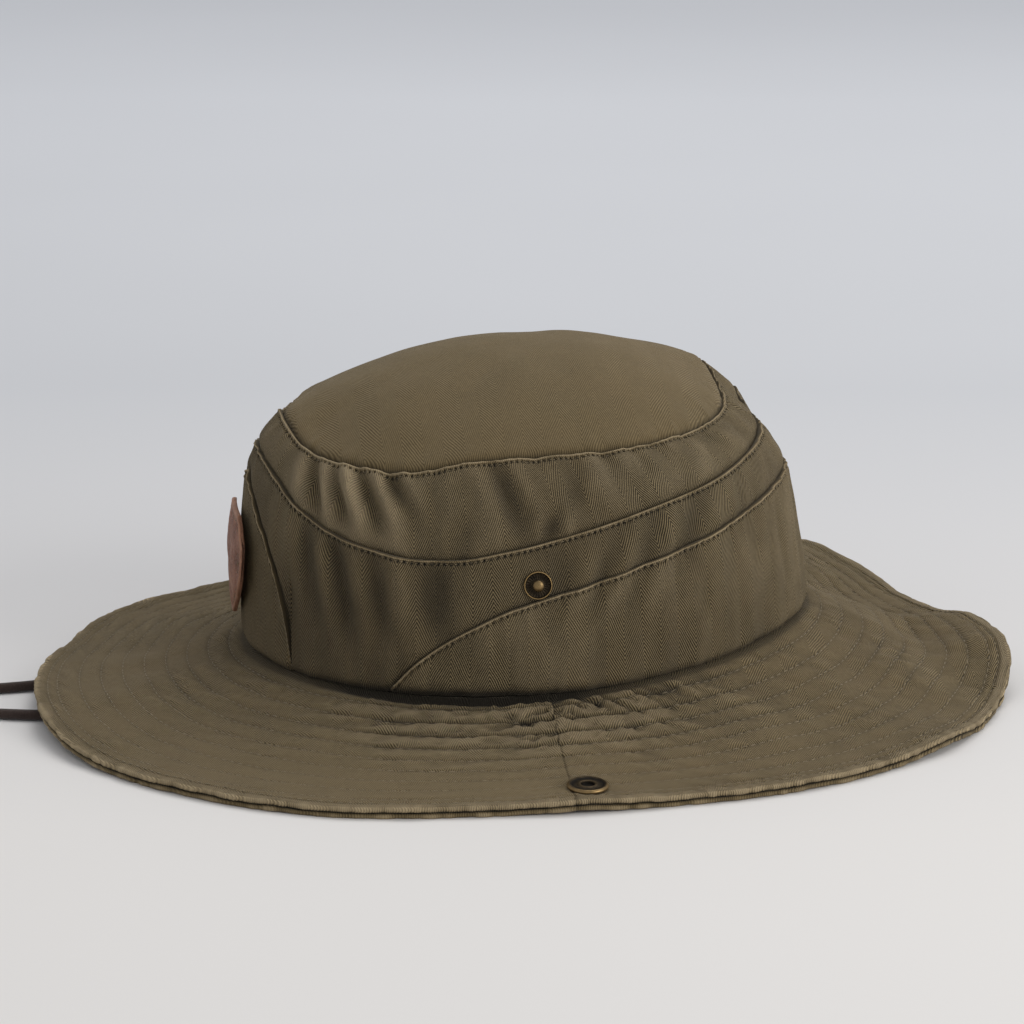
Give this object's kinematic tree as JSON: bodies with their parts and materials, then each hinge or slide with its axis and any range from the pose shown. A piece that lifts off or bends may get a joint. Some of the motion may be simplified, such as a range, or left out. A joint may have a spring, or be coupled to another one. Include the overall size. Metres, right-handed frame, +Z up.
{
  "type": "bush hat",
  "caption": "Soft cloth bush hat with a panelled crown, a wide two-ply brim, brim snaps, a front patch and a chin cord.",
  "frame": {"origin": "on the surface the hat rests on, under the middle of the hat's box without its cord", "axes": "-X is the front of the hat, -Y the wearer's left, +Z up out of the crown's top"},
  "size_m": [0.4326, 0.2962, 0.121],
  "materials": {
    "cloth": "washed olive-brown herringbone cotton",
    "patch_leather": "worn reddish-brown leather, bare",
    "snap_brass": "aged brass with a bright rubbed rim",
    "cord_suede": "dark brown suede-like cord",
    "slider_leather": "plain dark leather"
  },
  "bodies": {
    "root": {"crown_top": "cloth", "upper_band": "cloth", "middle_band": "cloth", "front_panel": "cloth", "rear_panel_left": "cloth", "rear_panel_right": "cloth", "brim_top_front": "cloth", "brim_top_back": "cloth", "brim_under_front": "cloth", "brim_under_back": "cloth", "front_patch": "patch_leather", "snap_stud_left": "snap_brass", "snap_stud_right": "snap_brass", "snap_socket_left": "snap_brass", "snap_socket_right": "snap_brass", "chin_cord": "cord_suede", "cord_slider": "slider_leather"}
  },
  "joints": []
}
